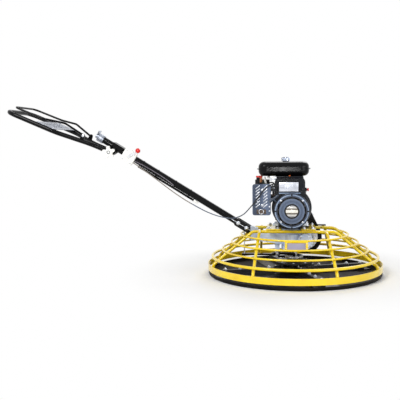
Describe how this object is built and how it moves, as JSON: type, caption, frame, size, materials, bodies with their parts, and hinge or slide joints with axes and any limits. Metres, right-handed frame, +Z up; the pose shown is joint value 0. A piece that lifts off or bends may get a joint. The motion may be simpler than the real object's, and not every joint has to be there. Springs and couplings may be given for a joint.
{
  "type": "walk-behind power trowel with a float pan",
  "caption": "Concrete finishing machine with a ringed guard cage over a float pan and pitched blades, worm gearbox, belt-driven petrol engine and a long folding handle",
  "frame": {"origin": "On the rotor axis at the underside of the float pan, where the machine stands on the floor.", "axes": "+X points away from the handle, which runs up towards -X; +Y is the belt side; +Z is up, along the rotor axis. The recoil starter faces -Y."},
  "size_m": [2.1204, 0.98, 0.9689],
  "materials": {
    "cage_paint": "gloss yellow enamel",
    "pan_paint": "dark grey paint, worn",
    "cast_housing": "as cast, bead blasted",
    "black_paint": "gloss black enamel",
    "engine_black": "satin black enamel",
    "machined_steel": "turned and ground",
    "zinc_steel": "bright zinc plate",
    "blade_steel": "rolled spring steel",
    "cast_iron": "dark cast",
    "bronze": "cut bronze",
    "fin_alloy": "as cast",
    "belt_rubber": "matt",
    "grip_rubber": "matt",
    "cable_sheath": "grey sheath",
    "conduit_plastic": "corrugated",
    "cover_plastic": "moulded, fine grain",
    "white_plastic": "moulded",
    "red_plastic": "moulded",
    "hot_steel": "heat resistant paint"
  },
  "bodies": {
    "machine": {"guard_band": "cage_paint", "guard_hoops": "cage_paint", "frame_tube_near": "cage_paint", "frame_tube_far": "cage_paint", "corner_legs": "cage_paint", "engine_plates": "cage_paint", "name_plate_frame": "cage_paint", "gearbox_housing": "cast_housing", "gearbox_cover": "cast_housing", "bearing_caps": "cast_housing", "gearbox_bearings": "machined_steel", "handle_bracket": "black_paint", "handle_tube": "black_paint", "tube_end_clamp": "zinc_steel", "pivot_bracket": "black_paint", "throttle_box": "white_plastic", "cable_conduit": "conduit_plastic", "throttle_cable": "cable_sheath", "belt_guard": "black_paint", "v_belt": "belt_rubber", "crankcase": "engine_black", "cylinder_head": "fin_alloy", "blower_housing": "engine_black", "starter_cover": "engine_black", "fuel_tank": "black_paint", "muffler": "hot_steel", "muffler_cover": "engine_black", "air_cleaner": "cover_plastic", "carburettor": "fin_alloy"},
    "rotor": {"output_shaft": "machined_steel", "spider": "cast_iron", "worm_wheel": "bronze"},
    "worm": {"worm_shaft": "machined_steel", "driven_pulley": "zinc_steel"},
    "crank": {"crankshaft": "machined_steel", "flywheel": "fin_alloy"},
    "drum": {"clutch_drum": "zinc_steel"},
    "collar": {"thrust_collar": "machined_steel"},
    "plate": {"pressure_plate": "cast_iron"},
    "pan": {"float_pan": "pan_paint"},
    "yoke": {"pitch_yoke": "black_paint"},
    "pull_rod": {"pull_rod": "zinc_steel"},
    "pitch_handle": {"pitch_handle": "zinc_steel"},
    "upper_handle": {"handle_loop": "black_paint", "handle_plate": "zinc_steel"},
    "bail": {"stop_bail": "black_paint"},
    "star_knob": {"star_knob": "white_plastic"},
    "throttle_lever": {"throttle_lever": "red_plastic"},
    "reel": {"starter_reel": "cover_plastic"},
    "grip": {"starter_grip": "grip_rubber"},
    "fuel_cap": {"fuel_cap": "zinc_steel"},
    "stop_button": {"stop_button": "red_plastic"},
    "trowel_arm_1": {"arm_1": "cast_iron", "blade_1": "blade_steel"},
    "trowel_arm_2": {"arm_2": "cast_iron", "blade_2": "blade_steel"},
    "trowel_arm_3": {"arm_3": "cast_iron", "blade_3": "blade_steel"},
    "trowel_arm_4": {"arm_4": "cast_iron", "blade_4": "blade_steel"}
  },
  "joints": [
    {"name": "rotor_spin", "type": "hinge", "parent": "machine", "child": "rotor", "pos_m": [0, 0, 0.1], "axis": [0, 0, 1], "continuous": true},
    {"name": "worm_spin", "type": "hinge", "parent": "machine", "child": "worm", "pos_m": [0.062, 0, 0.192], "axis": [0, 1, 0], "continuous": true},
    {"name": "drum_spin", "type": "hinge", "parent": "machine", "child": "drum", "pos_m": [-0.012, 0, 0.37], "axis": [0, 1, 0], "continuous": true},
    {"name": "crank_spin", "type": "hinge", "parent": "machine", "child": "crank", "pos_m": [-0.012, 0, 0.37], "axis": [0, 1, 0], "continuous": true},
    {"name": "pan_drop", "type": "slide", "parent": "rotor", "child": "pan", "axis": [0, 0, -1], "range_m": [0, 0.0262]},
    {"name": "plate_drop", "type": "slide", "parent": "rotor", "child": "plate", "axis": [0, 0, -1], "range_m": [0, 0.01206]},
    {"name": "collar_drop", "type": "slide", "parent": "machine", "child": "collar", "axis": [0, 0, -1], "range_m": [0, 0.01206]},
    {"name": "yoke_tilt", "type": "hinge", "parent": "machine", "child": "yoke", "pos_m": [-0.095, 0, 0.112], "axis": [0, 1, 0], "range_deg": [0, 7.3]},
    {"name": "rod_pull", "type": "slide", "parent": "machine", "child": "pull_rod", "axis": [0, 0, 1], "range_m": [0, 0.0239]},
    {"name": "pitch_turn", "type": "hinge", "parent": "machine", "child": "pitch_handle", "pos_m": [-1.13422, 0, 0.78917], "axis": [-0.8526, 0, 0.5225], "range_deg": [0, 1432]},
    {"name": "handle_fold", "type": "hinge", "parent": "machine", "child": "upper_handle", "pos_m": [-1.05498, 0, 0.69839], "axis": [0, 1, 0], "range_deg": [-20, 5]},
    {"name": "bail_squeeze", "type": "hinge", "parent": "upper_handle", "child": "bail", "pos_m": [-1.2008, 0, 0.79505], "axis": [0, 1, 0], "range_deg": [-2.5, 0], "stiffness_Nm_per_rad": 8, "springref_deg": 34.38},
    {"name": "star_turn", "type": "hinge", "parent": "machine", "child": "star_knob", "pos_m": [-1.05498, -0.07, 0.69839], "axis": [0, -1, 0], "range_deg": [0, 360]},
    {"name": "throttle_turn", "type": "hinge", "parent": "machine", "child": "throttle_lever", "pos_m": [-0.94493, -0.045, 0.67318], "axis": [0, 1, 0], "range_deg": [-30, 50]},
    {"name": "reel_turn", "type": "hinge", "parent": "machine", "child": "reel", "pos_m": [-0.012, -0.156, 0.37], "axis": [0, 1, 0], "range_deg": [0, 186], "stiffness_Nm_per_rad": 0.03, "springref_deg": -114.59},
    {"name": "rope_pull", "type": "slide", "parent": "machine", "child": "grip", "axis": [-0.6157, 0, 0.788], "range_m": [0, 0.1202]},
    {"name": "cap_turn", "type": "hinge", "parent": "machine", "child": "fuel_cap", "pos_m": [-0.047, 0, 0.65], "axis": [0, 0, 1], "range_deg": [0, 90]},
    {"name": "stop_push", "type": "slide", "parent": "machine", "child": "stop_button", "axis": [-1, 0, 0], "range_m": [0, 0.004], "stiffness_N_per_m": 200, "springref_m": -0.004},
    {"name": "arm_tilt_1", "type": "hinge", "parent": "rotor", "child": "trowel_arm_1", "pos_m": [0.02736, -0.07518, 0.028], "axis": [-0.342, 0.9397, 0], "range_deg": [0, 15.05]},
    {"name": "arm_tilt_2", "type": "hinge", "parent": "rotor", "child": "trowel_arm_2", "pos_m": [-0.07518, -0.02736, 0.028], "axis": [0.9397, 0.342, 0], "range_deg": [0, 15.05]},
    {"name": "arm_tilt_3", "type": "hinge", "parent": "rotor", "child": "trowel_arm_3", "pos_m": [-0.02736, 0.07518, 0.028], "axis": [0.342, -0.9397, 0], "range_deg": [0, 15.05]},
    {"name": "arm_tilt_4", "type": "hinge", "parent": "rotor", "child": "trowel_arm_4", "pos_m": [0.07518, 0.02736, 0.028], "axis": [-0.9397, -0.342, 0], "range_deg": [0, 15.05]}
  ],
  "couplings": [
    {"joint": "worm_spin", "follows": "rotor_spin", "ratio": -24},
    {"joint": "drum_spin", "follows": "rotor_spin", "ratio": -46.667},
    {"joint": "plate_drop", "follows": "pan_drop", "ratio": 0.46},
    {"joint": "collar_drop", "follows": "pan_drop", "ratio": 0.46},
    {"joint": "yoke_tilt", "follows": "pan_drop", "rad_per_m": 4.842},
    {"joint": "rod_pull", "follows": "pan_drop", "ratio": 0.9103},
    {"joint": "pitch_turn", "follows": "pan_drop", "rad_per_m": 953.3},
    {"joint": "rope_pull", "follows": "reel_turn", "m_per_rad": 0.037},
    {"joint": "arm_tilt_1", "follows": "pan_drop", "rad_per_m": 10},
    {"joint": "arm_tilt_2", "follows": "pan_drop", "rad_per_m": 10},
    {"joint": "arm_tilt_3", "follows": "pan_drop", "rad_per_m": 10},
    {"joint": "arm_tilt_4", "follows": "pan_drop", "rad_per_m": 10}
  ]
}
